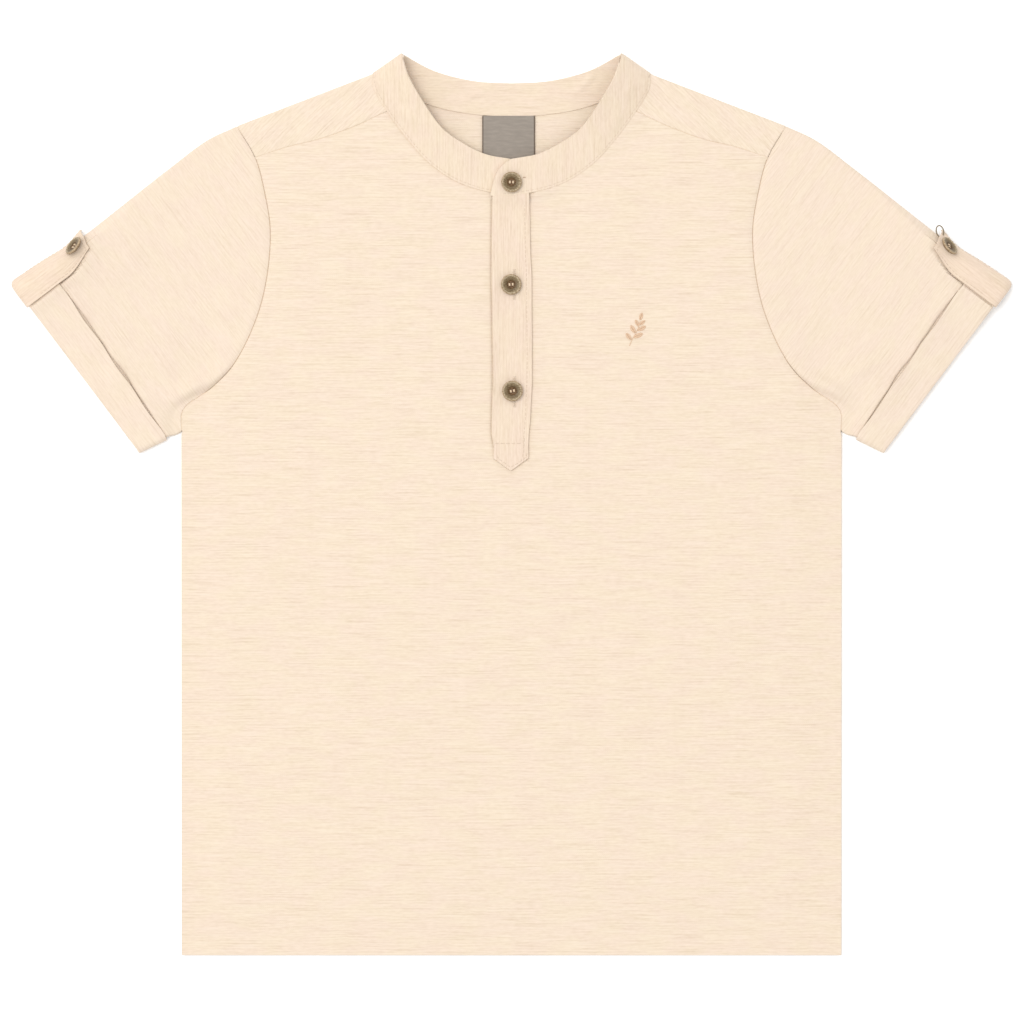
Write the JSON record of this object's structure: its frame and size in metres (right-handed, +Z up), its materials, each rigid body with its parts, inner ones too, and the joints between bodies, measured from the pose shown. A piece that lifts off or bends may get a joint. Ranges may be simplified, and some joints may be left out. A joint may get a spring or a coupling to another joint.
{
  "type": "henley shirt laid flat",
  "caption": "Child's short-sleeved henley shirt with a band collar, buttoned placket and tabbed turned-up cuffs, laid flat on its back.",
  "frame": {"origin": "centre of the bounding box in plan, at the underside that rests on the surface", "axes": "+X to the wearer's left along the sleeves' span, +Y from the hem to the collar, +Z up off the surface, through the front"},
  "size_m": [0.54, 0.487, 0.0156],
  "materials": {
    "cloth": "cream slub weave, matt",
    "label": "grey woven ribbon, bare",
    "button": "mottled olive brown horn look, satin"
  },
  "bodies": {
    "root": {"back": "cloth", "front": "cloth", "placket_under": "cloth", "placket_top": "cloth", "collar": "cloth", "sleeve_left": "cloth", "sleeve_right": "cloth", "tab_left": "cloth", "tab_right": "cloth", "label": "label", "button_1": "button", "button_2": "button", "button_3": "button", "button_sleeve_left": "button", "button_sleeve_right": "button"}
  },
  "joints": []
}
